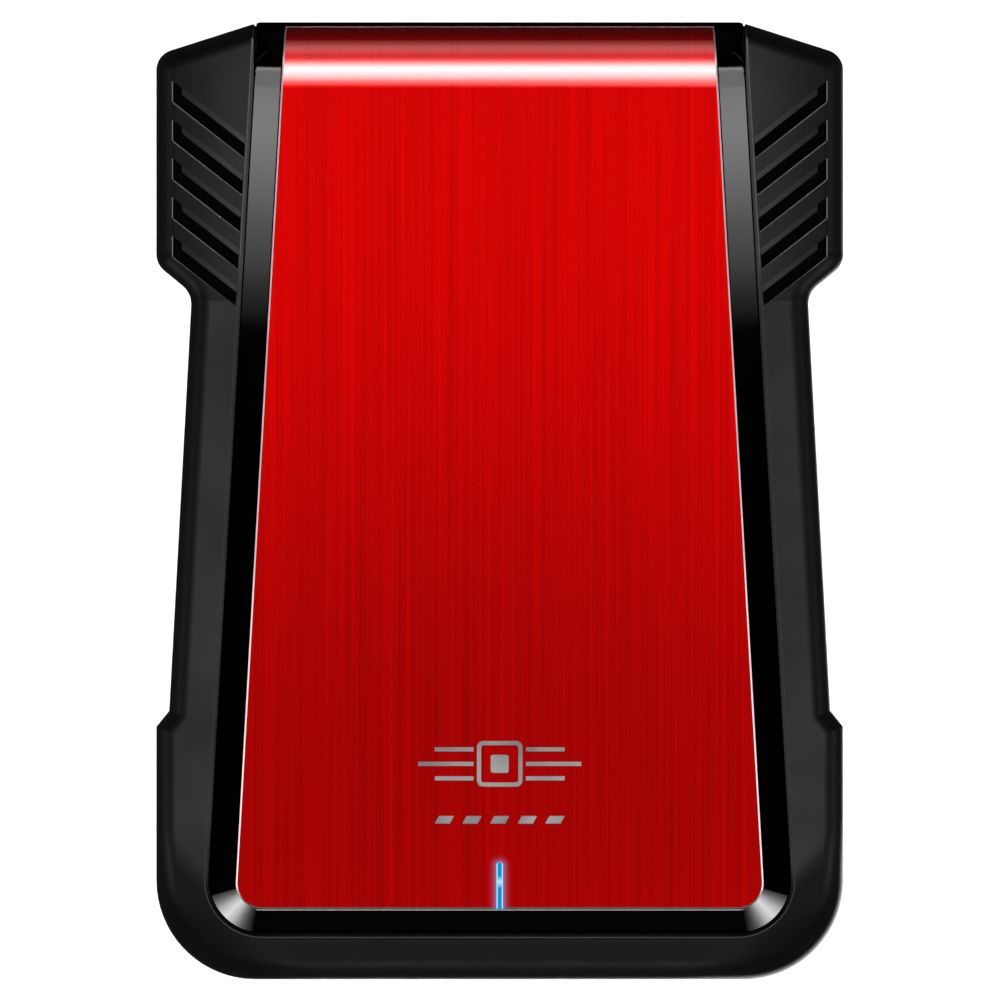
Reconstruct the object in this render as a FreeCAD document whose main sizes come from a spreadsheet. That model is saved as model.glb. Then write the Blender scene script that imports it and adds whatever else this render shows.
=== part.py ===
import FreeCAD, Part
import math
import os
import re

import Sketcher
from FreeCAD import Vector

# External solid state drive: a black enclosure with a rolled red face, and a 2.5-inch drive inside it.
# Origin at the middle of the footprint, on the surface it stands on. +Y is the narrow, rolled end,
# -Y the end with the port, +Z is up. All sizes in millimetres.

DIMENSIONS = {
    # outline of the enclosure, seen from above
    "half_width": 49.85, "half_length": 69.5, "end_half_width": 34.8, "shoulder_y": 64.7,
    "shoulder_radius": 3.0, "wing_foot_y": 34.3, "wing_foot_radius": 3.2, "waist_x": 44.7,
    "waist_y": 30.1, "waist_radius": 3.4, "rail_foot_x": 47.98, "rail_foot_y": 30.5,
    "bumper_top_y": 32.8, "bumper_radius": 14.4, "wall": 2.2, "overlap": 1.0,
    # heights
    "foot_height": 1.0, "floor_top": 3.0, "split_height": 7.0, "ledge_bottom": 17.2,
    "recess_floor": 18.8, "frame_top": 19.6, "cover_bottom": 19.9, "rim_top": 20.3,
    "cover_top": 24.1, "plate_top": 24.5, "wing_ceiling": 15.6,
    # edges
    "frame_rounding": 2.8, "shell_bevel": 1.2, "seam_bevel": 0.3, "edge_break": 0.16,
    # cover and face plate, seen from above
    "plate_half": 35.05, "taper": 0.057, "plate_foot_y": 59.1, "plate_corner_radius": 3.7,
    "bezel_side": 4.1, "bezel_foot": 3.7, "bezel_corner_radius": 7.8, "rim_width": 0.2,
    "bezel_bevel": 3.7, "plate_thickness": 0.8, "plate_bevel": 0.22, "roll_start_y": 59.8,
    "roll_radius": 8.9, "plate_end_height": 14.5, "lip_top": 14.4, "lip_half_width": 35.35,
    "lip_thickness": 3.0, "lip_corner_drop": 0.175, "cover_foot": 3.3, "cover_ceiling": 22.3,
    "cover_hollow_half": 31.0, "cover_hollow_foot_y": 50.0, "cover_hollow_radius": 6.7,
    "shadow_gap": 0.45, "far_out": 80.0,
    # guide rails under the cover and the opening they run in
    "opening_half": 33.4, "opening_foot_y": 54.0, "web_inner": 31.5, "web_outer": 33.0,
    "hook_outer": 34.8, "hook_bottom": 14.8, "hook_top": 16.8, "web_foot_y": 52.0,
    "web_end_y": 57.0, "hook_length": 22.0, "hook_pitch": 40.0, "hook_first": 2.0,
    "cover_end_gap": 0.4, "roll_lead": 3.0, "flank_lead": 0.5,
    "rib_half": 0.6, "rib_pitch": 15.0, "rib_foot_y": 30.0, "rib_end_y": 55.0,
    "foam_half_width": 22.0, "foam_bottom": 12.4, "foam_top": 15.4,
    "catch_inner": 20.0, "catch_outer": 25.5, "catch_front_y": 48.0, "catch_back_y": 50.0,
    # inside of the frame and of the lower shell
    "bay_half": 35.4, "mouth_half": 35.7, "mouth_y": 61.6, "bay_foot_y": 67.3, "guide_outer": 37.7,
    "inner_shoulder_y": 62.6, "inner_end_y": 66.1, "inner_bumper_radius": 9.5,
    "chamber_foot_y": 65.8,
    # wing slots
    "slot_outer_x": 47.4, "slot_height": 3.0, "slot_first_y": 57.85, "slot_pitch": 5.62,
    "slot_slope": 0.781, "slot_inner_gap": 0.75, "slot_step_depth": 0.9, "slot_depth": 2.6,
    "slot_step_start": 1.3, "slot_step_height": 0.93,
    # light slot and its pipe
    "pipe_proud": 0.05, "slot_roundness": 0.98,
    "pipe_half": 0.48, "pipe_top_y": 52.3, "pipe_leg_half": 1.2, "pipe_leg_front_y": 51.6,
    "pipe_leg_back_y": 53.6, "pipe_leg_bottom": 12.4, "pipe_clearance": 0.04,
    # enclosure screws, feet, label
    "screw_wing_x": 42.6, "screw_wing_y": 50.0, "screw_bumper_x": 42.2, "screw_bumper_y": 54.0,
    "boss_radius": 3.0, "screw_radius": 1.1, "screw_way_radius": 1.25, "screw_head_radius": 2.2,
    "screw_well_radius": 2.6, "screw_seat": 2.6, "screw_head": 1.3, "screw_tip": 13.0,
    "screw_cross_depth": 0.6, "screw_cross_reach": 0.6, "screw_cross_width": 0.15,
    "foot_x": 28.0, "foot_y": 60.0, "foot_half_length": 6.0, "foot_half_width": 2.6,
    "foot_corner": 2.58, "foot_edge": 0.3,
    "label_half_width": 27.0, "label_half_length": 18.0, "label_recess": 0.3, "label_sheet": 0.2,
    "label_corner": 2.0, "label_gap": 0.2,
    # slide lock in the floor
    "lock_recess_inner": 18.6, "lock_recess_outer": 33.4, "lock_recess_depth": 1.2,
    "lock_front_y": 44.4, "lock_back_y": 53.6, "lock_travel": 5.0, "knob_inner": 24.0,
    "knob_outer": 33.0, "knob_front_y": 44.9, "knob_back_y": 53.1, "knob_bottom": 1.1,
    "knob_height": 0.95, "neck_inner": 26.5, "neck_outer": 30.0, "neck_front_y": 47.2,
    "neck_back_y": 50.8, "neck_top": 3.1, "latch_top": 4.1, "latch_inner": 25.2,
    "latch_outer": 31.2, "latch_front_y": 45.4, "latch_back_y": 53.0, "finger_inner": 26.0,
    "finger_outer": 30.4, "finger_front_y": 45.4, "finger_back_y": 47.0, "finger_top": 16.5,
    "lock_recess_corner": 0.8, "lock_slot_end_gap": 0.3, "lock_slot_side_gap": 0.2,
    "knob_corner": 1.0, "grip_first": 1.1, "grip_pitch": 1.2, "grip_width": 0.6,
    "grip_margin": 1.0, "grip_depth": 0.4, "lock_screw_radius": 0.7, "lock_screw_way": 0.85,
    "lock_pilot_depth": 1.4, "lock_screw_reach": 1.3, "lock_screw_head": 0.8,
    "lock_screw_head_radius": 1.4,
    # bridge board with its port
    "board_left": 30.0, "board_right": 13.0, "board_front_y": 46.0, "board_back_y": 66.6,
    "board_bottom": 6.0, "board_top": 7.2, "board_boss_radius": 2.3, "board_screw_radius": 0.9,
    "board_corner": 1.0, "board_screw_inset": 3.0, "board_screw_end": 3.4,
    "board_screw_gap": 0.15, "board_screw_tip": 3.4, "board_screw_head": 1.1,
    "board_screw_head_radius": 1.9,
    "port_x": -8.0, "port_half": 6.55, "port_height": 2.8, "port_front_y": 69.1,
    "port_back_y": 60.4, "port_skin": 0.3, "port_lobe": 1.6, "port_notch": 0.6,
    "port_window_gap": 0.3, "port_window_depth": 4.0, "port_bevel": 0.9, "port_notch_foot": 0.7,
    "port_notch_crest": 0.2, "tongue_half": 5.6, "tongue_bottom": 8.5, "tongue_top": 9.1,
    "tongue_root_y": 62.6, "tongue_tip_y": 67.4,
    # drive connector, plug on the drive and socket on the bridge board
    "plug_left": 26.5, "plug_right": 9.5, "plug_bottom": 6.6, "plug_top": 10.8,
    "plug_back_y": 33.0, "plug_wall": 0.8, "plug_depth": 5.4, "blade_half": 0.6,
    "blade_side": 1.5, "connector_gap": 0.15, "socket_back_y": 49.5, "socket_face_y": 41.3,
    "nose_tip_y": 36.0, "blade_slot_floor": 2.0, "blade_setback": 0.4, "data_first": 3.0,
    "power_first": 14.6, "contact_pitch": 1.27, "leg_half": 0.25, "leg_length": 1.6,
    "leg_height": 0.3, "blade_contact_half": 0.3, "blade_contact_setback": 0.7,
    "blade_contact_height": 0.1,
    # the 2.5-inch drive
    "drive_half": 34.92, "drive_back_y": 41.0, "drive_end_y": 59.0, "drive_bottom": 5.0,
    "drive_split": 6.0, "drive_top": 12.0, "drive_skin": 1.0, "drive_corner": 1.6,
    "drive_screw_x": 31.5, "drive_screw_back_y": 37.2, "drive_screw_end_y": 55.2,
    "drive_board_half": 28.0, "drive_board_end_y": 12.0, "drive_board_bottom": 7.4,
    "drive_board_top": 8.4, "drive_label_recess": 0.1, "drive_label_side": 5.0,
    "drive_label_end": 8.0, "drive_label_corner": 1.5, "drive_bottom_bevel": 0.3,
    "drive_top_rounding": 0.6, "drive_inner_corner": 0.8, "drive_well_depth": 0.6,
    "drive_well_radius": 1.6, "drive_way_radius": 0.9, "drive_boss_radius": 2.0,
    "drive_screw_radius": 0.8, "drive_pilot_top": 10.0, "drive_screw_tip": 9.8,
    "drive_screw_head": 0.5, "drive_screw_head_radius": 1.5,
    "pad_back_row_y": -26.0, "pad_front_row_y": 42.0, "pad_half_length": 5.0,
    "pad_inner": 10.0, "pad_outer": 31.0,
    # emblem
    "emblem_height": 0.12, "emblem_y": -38.1, "emblem_half": 3.3, "emblem_band": 0.6,
    "emblem_corner": 0.9, "emblem_inner_corner": 0.4, "core_half": 1.3, "core_corner": 0.3,
    "trace_reach": 11.8, "trace_half": 0.3, "trace_pitch": 2.1, "trace_gap": 0.5,
    "trace_shortening": 2.4, "dash_y": -46.2, "dash_half": 1.1, "dash_pitch": 4.0,
    "dash_half_height": 0.55, "dash_lean": 0.3,
}

# Plain rectangular parts: left, right, back, front, bottom, top.
BLOCKS = {
    "bridge_chip": (-13.0, -6.0, -57.4, -51.4, 7.2, 8.2),
    "firmware_chip": (-22.0, -17.0, -58.6, -54.6, 7.2, 8.6),
    "clock_crystal": (-3.5, -0.3, -56.6, -54.1, 7.2, 8.0),
    "power_inductor": (3.0, 7.0, -59.1, -55.1, 7.2, 9.2),
    "activity_led": (-0.8, 0.8, -53.2, -52.0, 7.2, 7.9),
    "board_capacitors": (-24.0, -23.0, -53.4, -51.8, 7.2, 8.0),
    "usb_contacts": (-13.05, -12.65, -67.1, -62.6, 9.1, 9.22),
    "drive_controller": (-7.0, 7.0, -26.0, -12.0, 8.4, 9.6),
    "drive_memory": (12.0, 22.0, -25.0, -12.0, 8.4, 9.6),
    "drive_thermal_pad": (-6.5, 6.5, -25.5, -12.5, 9.6, 11.0),
    "drive_flash": (-25.0, -14.0, -8.0, 10.0, 8.4, 9.6),
    "drive_capacitors": (-24.0, -23.1, -31.0, -29.2, 8.4, 9.2),
}
SIDES = ("left", "right", "back", "front", "bottom", "top")

# Rows of equal blocks across the part: how many, and how far apart.
ROWS = {
    "board_capacitors": (6, 1.9),
    "usb_contacts": (10, 1.122),
    "drive_flash": (4, 13.0),
    "drive_capacitors": (8, 1.8),
}
WING_SLOTS = 5
GRIP_GROOVES = 6
HOOKS_PER_SIDE = 3
DATA_CONTACTS = 7
POWER_CONTACTS = 15
LEAST_CUT = 1e-6
ON_PLANE = 1e-4

doc = FreeCAD.newDocument("external_drive")
sheet = doc.addObject("Spreadsheet::Sheet", "dims")
pieces = []


# ---------------------------------------------------------------- helpers

def fill_sheet():
    for label, numbers in BLOCKS.items():
        DIMENSIONS.update({f"{label}_{side}": number for side, number in zip(SIDES, numbers)})
    for label, (_, pitch) in ROWS.items():
        DIMENSIONS[label + "_pitch"] = pitch
    for row, (alias, number) in enumerate(DIMENSIONS.items(), start=1):
        sheet.set(f"A{row}", alias)
        sheet.set(f"B{row}", str(number))
        sheet.setAlias(f"B{row}", alias)
    doc.recompute()


def bound(text):
    """Turns the names of dimensions in an expression into references to the sheet."""
    def reference(found):
        word = found.group()
        return "dims." + word if word in DIMENSIONS else word
    return re.sub("[a-z_]{3,}", reference, str(text))


def value(text):
    return float(sheet.evalExpression(bound(text)))


def new_body(label):
    body = doc.addObject("PartDesign::Body", label)
    body.Label = label
    return body


def keep(item):
    """Marks an object as one of the pieces that are written out."""
    pieces.append(item)
    return item


def fix_point(sketch, geometry, corner):
    for kind, text in (("DistanceX", corner[0]), ("DistanceY", corner[1])):
        rule = Sketcher.Constraint(kind, -1, 1, geometry, 1, value(text))
        sketch.setExpression(f"Constraints[{sketch.addConstraint(rule)}]", bound(text))


def round_corner(points, index, radius):
    """Where a rounding leaves the line before a corner, meets the line after it, and has its middle."""
    here = points[index]
    back = (points[index - 1] - here).normalize()
    onward = (points[(index + 1) % len(points)] - here).normalize()
    half = back.getAngle(onward) / 2
    middle = (back + onward).normalize() * (radius / math.sin(half))
    turns_left = (back * -1).cross(onward).z > 0
    reach = radius / math.tan(half)
    return here + back * reach, here + onward * reach, here + middle, turns_left


def add_rounding(sketch, corner, here, line_in, line_out, rounding):
    start, stop, middle, turns_left = rounding
    first, last = (start, stop) if turns_left else (stop, start)
    angles = [math.atan2(p.y - middle.y, p.x - middle.x) for p in (first, last)]
    circle = Part.Circle(middle, Vector(0, 0, 1), (first - middle).Length)
    arc = sketch.addGeometry(Part.ArcOfCircle(circle, angles[0], angles[1]))
    arc_in, arc_out = (1, 2) if turns_left else (2, 1)
    point = sketch.addGeometry(Part.Point(here), True)
    sketch.addConstraint(Sketcher.Constraint("Tangent", line_in, 2, arc, arc_in))
    sketch.addConstraint(Sketcher.Constraint("Tangent", arc, arc_out, line_out, 1))
    rule = Sketcher.Constraint("Radius", arc, value(corner[2]))
    sketch.setExpression(f"Constraints[{sketch.addConstraint(rule)}]", bound(corner[2]))
    fix_point(sketch, point, corner)
    sketch.addConstraint(Sketcher.Constraint("PointOnObject", point, 1, line_in))
    sketch.addConstraint(Sketcher.Constraint("PointOnObject", point, 1, line_out))


def draw_loop(sketch, corners):
    """One closed outline of straight lines. A corner's third value is the radius that rounds it."""
    points = [Vector(value(corner[0]), value(corner[1]), 0) for corner in corners]
    roundings = {}
    for index, corner in enumerate(corners):
        if len(corner) == 3:
            roundings[index] = round_corner(points, index, value(corner[2]))
    lines = []
    for index in range(len(points)):
        following = (index + 1) % len(points)
        start = roundings[index][1] if index in roundings else points[index]
        stop = roundings[following][0] if following in roundings else points[following]
        lines.append(sketch.addGeometry(Part.LineSegment(start, stop)))
    for index, corner in enumerate(corners):
        line_in, line_out = lines[index - 1], lines[index]
        if index in roundings:
            add_rounding(sketch, corner, points[index], line_in, line_out, roundings[index])
        else:
            sketch.addConstraint(Sketcher.Constraint("Coincident", line_in, 2, line_out, 1))
            fix_point(sketch, line_out, corner)


def draw(body, name, role, level, loops):
    """A sketch on one of the body's origin planes, shifted along the plane's normal by level."""
    sketch = body.newObject("Sketcher::SketchObject", name)
    plane = next(item for item in body.Origin.OriginFeatures if item.Role == role)
    sketch.AttachmentSupport = [(plane, "")]
    sketch.MapMode = "FlatFace"
    sketch.setExpression(".AttachmentOffset.Base.z", bound(level))
    for corners in loops:
        draw_loop(sketch, corners)
    return sketch


def draw_circles(body, name, level, spots, radius):
    sketch = draw(body, name, "XY_Plane", level, [])
    for x, y in spots:
        middle = Vector(value(x), value(y), 0)
        ring = sketch.addGeometry(Part.Circle(middle, Vector(0, 0, 1), value(radius)))
        rule = Sketcher.Constraint("Radius", ring, value(radius))
        sketch.setExpression(f"Constraints[{sketch.addConstraint(rule)}]", bound(radius))
        for kind, text in (("DistanceX", x), ("DistanceY", y)):
            rule = Sketcher.Constraint(kind, -1, 1, ring, 3, value(text))
            sketch.setExpression(f"Constraints[{sketch.addConstraint(rule)}]", bound(text))
    return sketch


def add(body, name, sketch, length):
    feature = body.newObject("PartDesign::Pad", name)
    feature.Profile = sketch
    feature.setExpression("Length", bound(length))
    body.Tip = feature
    doc.recompute()


def remove(body, name, sketch, length, reverse=False):
    """Cuts against the sketch's normal, or along it. A cut that removes nothing stops the build."""
    before = body.Shape.Volume
    feature = body.newObject("PartDesign::Pocket", name)
    feature.Profile = sketch
    feature.Reversed = reverse
    feature.setExpression("Length", bound(length))
    body.Tip = feature
    doc.recompute()
    if not body.Shape.Volume < before - LEAST_CUT:
        raise RuntimeError(f"{body.Label}: {name} cuts nothing")


def pad(body, name, level, top, loops, role="XY_Plane"):
    add(body, name, draw(body, name + "_sketch", role, level, loops), f"({top}) - ({level})")


def pocket(body, name, level, depth, loops, role="XY_Plane", reverse=False):
    remove(body, name, draw(body, name + "_sketch", role, level, loops), depth, reverse)


def circle_pad(body, name, level, top, spots, radius):
    add(body, name, draw_circles(body, name + "_sketch", level, spots, radius),
        f"({top}) - ({level})")


def circle_pocket(body, name, level, depth, spots, radius):
    remove(body, name, draw_circles(body, name + "_sketch", level, spots, radius), depth)


def soften(body, name, kind, size, chosen):
    """A Fillet or Chamfer on the edges of the body that the test picks."""
    base = body.Tip
    edges = [f"Edge{n}" for n, edge in enumerate(base.Shape.Edges, start=1) if chosen(edge)]
    feature = body.newObject("PartDesign::" + kind, name)
    feature.Base = (base, edges)
    feature.setExpression("Radius" if kind == "Fillet" else "Size", bound(size))
    body.Tip = feature
    doc.recompute()


def rectangle(left, right, low, high, radius=None):
    corners = [(left, low), (right, low), (right, high), (left, high)]
    if radius:
        corners = [corner + (radius,) for corner in corners]
    return corners


def arched(half, low, high):
    """A narrow opening whose far end is round."""
    radius = f"({half}) * slot_roundness"
    return [(opposite(half), low), (half, low), (half, high, radius), (opposite(half), high, radius)]


def opposite(text):
    return f"-({text})"


def both_sides(right_side):
    """Completes a list of right-hand corners, from +Y to -Y, with its mirror image."""
    left_side = [(opposite(corner[0]),) + tuple(corner[1:]) for corner in reversed(right_side)]
    return right_side + left_side


def mirrored(loop):
    return [(opposite(corner[0]),) + tuple(corner[1:]) for corner in reversed(loop)]


def box(label, across, along, height):
    item = doc.addObject("Part::Box", label)
    item.Label = label
    spans = (("Length", "x", across), ("Width", "y", along), ("Height", "z", height))
    for size, place, (low, high) in spans:
        item.setExpression(size, bound(f"({high}) - ({low})"))
        item.setExpression(f"Placement.Base.{place}", bound(low))
    return item


def block(label, node=None, shift="0"):
    """One of the plain rectangular parts, moved across by the shift."""
    node = node or label
    return box(label, (f"{node}_left + {shift}", f"{node}_right + {shift}"),
               (f"{node}_back", f"{node}_front"), (f"{node}_bottom", f"{node}_top"))


def block_row(node):
    """Equal blocks side by side that share one node."""
    count, _ = ROWS[node]
    return group(node, [block(f"{node}_{index}", node, f"{index} * {node}_pitch")
                        for index in range(count)])


def rod(label, x, y, bottom, top, radius):
    item = doc.addObject("Part::Cylinder", label)
    item.Label = label
    item.setExpression("Radius", bound(radius))
    item.setExpression("Height", bound(f"({top}) - ({bottom})"))
    for place, text in (("x", x), ("y", y), ("z", bottom)):
        item.setExpression(f"Placement.Base.{place}", bound(text))
    return item


def cut(label, base, tool):
    item = doc.addObject("Part::Cut", label)
    item.Label = label
    item.Base = base
    item.Tool = tool
    return item


def fuse(label, shapes):
    item = doc.addObject("Part::MultiFuse", label)
    item.Label = label
    item.Shapes = shapes
    return item


def group(label, members):
    """Equal small pieces that share one node, as separate solids."""
    item = doc.addObject("Part::Compound", label)
    item.Label = label
    item.Links = members
    return item


def screw(label, x, y, seat, tip, head, head_radius, shank_radius):
    """A pan-head screw with a cross recess. The shank goes from the seat to the tip, up or down."""
    upward = value(tip) > value(seat)
    outer = f"({seat}) - ({head})" if upward else f"({seat}) + ({head})"
    sink = f"({head}) * screw_cross_depth"
    inner = f"({outer}) + {sink}" if upward else f"({outer}) - {sink}"
    low, high = (outer, seat) if upward else (seat, outer)
    head_rod = rod(label + "_head", x, y, low, high, head_radius)
    shank_low, shank_high = (seat, tip) if upward else (tip, seat)
    shank = rod(label + "_shank", x, y, shank_low, shank_high, shank_radius)
    depth = (outer, inner) if upward else (inner, outer)
    long_half = f"({head_radius}) * screw_cross_reach"
    short_half = f"({head_radius}) * screw_cross_width"
    bars = []
    for name, reach_x, reach_y in (("a", long_half, short_half), ("b", short_half, long_half)):
        across = (f"({x}) - {reach_x}", f"({x}) + {reach_x}")
        along = (f"({y}) - {reach_y}", f"({y}) + {reach_y}")
        bars.append(box(f"{label}_bar_{name}", across, along, depth))
    solid = fuse(label + "_solid", [head_rod, shank])
    return cut(label, solid, fuse(label + "_cross", bars))


# ---------------------------------------------------------------- outlines

def enclosure_outline():
    """Wings at the narrow end, a tapering waist, and round bumpers at the wide end."""
    return both_sides([
        ("end_half_width", "half_length"),
        ("half_width", "shoulder_y", "shoulder_radius"),
        ("half_width", "wing_foot_y", "wing_foot_radius"),
        ("waist_x", "waist_y", "waist_radius"),
        ("rail_foot_x", "-rail_foot_y"),
        ("half_width", "-bumper_top_y"),
        ("half_width", "-half_length", "bumper_radius"),
    ])


def side_chamber():
    """The hollow between the drive bay's guide wall and the outer wall, on the right."""
    return [
        ("guide_outer", "inner_end_y"),
        ("half_width - wall", "inner_shoulder_y"),
        ("half_width - wall", "wing_foot_y + wall / 2"),
        ("waist_x - wall", "waist_y + wall / 2"),
        ("rail_foot_x - wall", "-rail_foot_y"),
        ("half_width - wall", "-bumper_top_y - wall / 2"),
        ("half_width - wall", "-chamber_foot_y", "inner_bumper_radius"),
        ("guide_outer", "-chamber_foot_y"),
    ]


def tapered_outline(grow_side, grow_foot, radius, end_y):
    """The face plate's tapering outline, grown outward; it is narrowest at end_y."""
    foot_y = f"(-plate_foot_y - ({grow_foot}))"
    foot_x = f"plate_half + ({grow_side}) - taper * {foot_y}"
    end_x = f"plate_half + ({grow_side}) - taper * ({end_y})"
    return both_sides([(end_x, end_y), (foot_x, foot_y, radius)])


def screw_spots():
    spots = []
    for sign in ("", "-"):
        spots.append((sign + "screw_wing_x", "screw_wing_y"))
        spots.append((sign + "screw_bumper_x", "-screw_bumper_y"))
    return spots


# ---------------------------------------------------------------- base: shells

def make_lower_shell():
    body = new_body("lower_shell")
    pad(body, "tray", "foot_height", "split_height", [enclosure_outline()])
    low = value("foot_height")
    soften(body, "foot_bevel", "Chamfer", "shell_bevel",
           lambda edge: abs(edge.BoundBox.ZMax - low) < ON_PLANE)
    depth = "split_height - floor_top"
    pocket(body, "bay", "split_height", depth,
           [rectangle("-bay_half", "bay_half", "-bay_foot_y", "mouth_y + overlap")])
    pocket(body, "mouth", "split_height", depth,
           [rectangle("-mouth_half", "mouth_half", "mouth_y", "far_out")])
    chamber = side_chamber()
    pocket(body, "side_chambers", "split_height", depth, [chamber, mirrored(chamber)])
    circle_pad(body, "bosses", "floor_top", "split_height", screw_spots(), "boss_radius")
    circle_pocket(body, "screw_wells", "screw_seat", "screw_seat - foot_height", screw_spots(),
                  "screw_well_radius")
    circle_pocket(body, "screw_ways", "split_height", "split_height", screw_spots(),
                  "screw_way_radius")
    circle_pad(body, "board_bosses", "floor_top", "board_bottom", board_screw_spots(),
               "board_boss_radius")
    circle_pocket(body, "board_pilots", "board_bottom", "board_bottom - floor_top",
                  board_screw_spots(), "board_screw_radius")
    lock_y = ("-lock_back_y", "-lock_front_y")
    pocket(body, "lock_recess", "foot_height + lock_recess_depth", "lock_recess_depth",
           [rectangle("lock_recess_inner", "lock_recess_outer", *lock_y, "lock_recess_corner")])
    slot = rectangle("neck_inner - lock_travel - lock_slot_end_gap", "neck_outer + lock_slot_end_gap",
                     "-neck_back_y - lock_slot_side_gap", "-neck_front_y + lock_slot_side_gap")
    pocket(body, "lock_slot", "floor_top", "floor_top", [slot])
    frame = rectangle("-label_half_width", "label_half_width", "-label_half_length",
                      "label_half_length", "label_corner")
    pocket(body, "label_recess", "foot_height + label_recess", "label_recess", [frame])
    return keep(body)


def wing_slot(index):
    """One slot of the right wing: its outer end is upright, its inner end follows the cover."""
    low = f"(slot_first_y - slot_pitch * {index})"
    high = f"({low} + slot_height)"
    return low, high


def slot_inner_x(edge_y):
    """Where a slanted slot edge that leaves the outer end at edge_y meets the line beside the cover."""
    side = "(plate_half + bezel_side + slot_inner_gap)"
    return (f"({side} - taper * ({edge_y} - slot_slope * slot_outer_x))"
            " / (1 + taper * slot_slope)")


def slot_edge_y(edge_y, x):
    return f"{edge_y} - slot_slope * (slot_outer_x - ({x}))"


def full_slot(index):
    low, high = wing_slot(index)
    inner_low, inner_high = slot_inner_x(low), slot_inner_x(high)
    return [
        ("slot_outer_x", high), ("slot_outer_x", low),
        (inner_low, slot_edge_y(low, inner_low)), (inner_high, slot_edge_y(high, inner_high)),
    ]


def deep_slot(index):
    """The slot without the step that runs along its upper edge."""
    low, high = wing_slot(index)
    step = f"({high} - slot_step_height)"
    start = "(slot_outer_x - slot_step_start)"
    inner_low, inner_step = slot_inner_x(low), slot_inner_x(step)
    return [
        ("slot_outer_x", high), ("slot_outer_x", low),
        (inner_low, slot_edge_y(low, inner_low)), (inner_step, slot_edge_y(step, inner_step)),
        (start, slot_edge_y(step, start)), (start, slot_edge_y(high, start)),
    ]


def make_upper_frame():
    body = new_body("upper_frame")
    pad(body, "ring", "split_height", "frame_top", [enclosure_outline()])
    top = value("frame_top")
    soften(body, "top_rounding", "Fillet", "frame_rounding",
           lambda edge: abs(edge.BoundBox.ZMin - top) < ON_PLANE)
    low = value("split_height")
    soften(body, "seam", "Chamfer", "seam_bevel",
           lambda edge: abs(edge.BoundBox.ZMax - low) < ON_PLANE)
    recess = tapered_outline("bezel_side + shadow_gap", "bezel_foot + shadow_gap",
                             "bezel_corner_radius + shadow_gap", "far_out")
    pocket(body, "cover_recess", "frame_top", "frame_top - recess_floor", [recess])
    pocket(body, "opening", "frame_top", "frame_top - split_height",
           [rectangle("-opening_half", "opening_half", "-opening_foot_y", "far_out")])
    pocket(body, "mouth", "frame_top", "frame_top - split_height",
           [rectangle("-mouth_half", "mouth_half", "mouth_y", "far_out")])
    pocket(body, "bay", "ledge_bottom", "ledge_bottom - split_height",
           [rectangle("-bay_half", "bay_half", "-bay_foot_y", "mouth_y + overlap")])
    chamber = side_chamber()
    pocket(body, "side_chambers", "wing_ceiling", "wing_ceiling - split_height",
           [chamber, mirrored(chamber)])
    circle_pad(body, "bosses", "split_height", "wing_ceiling", screw_spots(), "boss_radius")
    circle_pocket(body, "pilots", "screw_tip", "screw_tip - split_height", screw_spots(),
                  "screw_radius")
    slots = [full_slot(index) for index in range(WING_SLOTS)]
    pocket(body, "slot_steps", "frame_top", "slot_step_depth",
           slots + [mirrored(loop) for loop in slots])
    deep = [deep_slot(index) for index in range(WING_SLOTS)]
    pocket(body, "slot_floors", "frame_top", "slot_depth", deep + [mirrored(loop) for loop in deep])
    soften(body, "slot_edges", "Chamfer", "edge_break", lambda edge: on_slot_rim(edge, top))
    soften(body, "recess_edge", "Chamfer", "edge_break", lambda edge: on_recess_rim(edge, top))
    window = rectangle("port_x - port_half - port_window_gap", "port_x + port_half + port_window_gap",
                       "split_height - overlap", "board_top + port_height + port_window_gap")
    pocket(body, "port_window", "half_length + overlap", "port_window_depth", [window], "XZ_Plane")
    return keep(body)


def points_along(edge):
    """The edge's two ends and its middle."""
    first, last = edge.ParameterRange
    return [edge.valueAt(first + (last - first) * share) for share in (0.0, 0.5, 1.0)]


def on_slot_rim(edge, top):
    """True for the outer and the lower top edges of the wing slots."""
    outer, slope = value("slot_outer_x"), value("slot_slope")
    lows = [value(wing_slot(index)[0]) for index in range(WING_SLOTS)]
    inner = value("guide_outer - overlap")
    for point in points_along(edge):
        if abs(point.z - top) > ON_PLANE or abs(point.x) < inner:
            return False
        at_outer_end = abs(point.y + slope * (outer - abs(point.x)))
        upright = abs(abs(point.x) - outer) < ON_PLANE
        if not upright and min(abs(at_outer_end - low) for low in lows) > ON_PLANE:
            return False
    return True


def on_recess_rim(edge, top):
    """True for the top edges of the recess that the cover lies in."""
    side = value("plate_half + bezel_side + shadow_gap")
    foot = -value("plate_foot_y + bezel_foot + shadow_gap")
    for point in points_along(edge):
        inside = abs(point.x) < side - value("taper") * point.y + ON_PLANE
        if abs(point.z - top) > ON_PLANE or not inside or point.y < foot - ON_PLANE:
            return False
    return True


def make_shell_screws():
    members = []
    for index, (x, y) in enumerate(screw_spots()):
        members.append(screw(f"shell_screw_{index}", x, y, "screw_seat", "screw_tip", "screw_head",
                             "screw_head_radius", "screw_radius"))
    return keep(group("shell_screws", members))


def make_rubber_feet():
    body = new_body("rubber_feet")
    body.AllowCompound = True
    loops = []
    for x in ("foot_x", "-foot_x"):
        for y in ("foot_y", "-foot_y"):
            loops.append(rectangle(f"{x} - foot_half_length", f"{x} + foot_half_length",
                                   f"{y} - foot_half_width", f"{y} + foot_half_width",
                                   "foot_corner"))
    pad(body, "pads", "0", "foot_height", loops)
    soften(body, "edge", "Fillet", "foot_edge", lambda edge: edge.BoundBox.ZMax < ON_PLANE)
    return keep(body)


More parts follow.
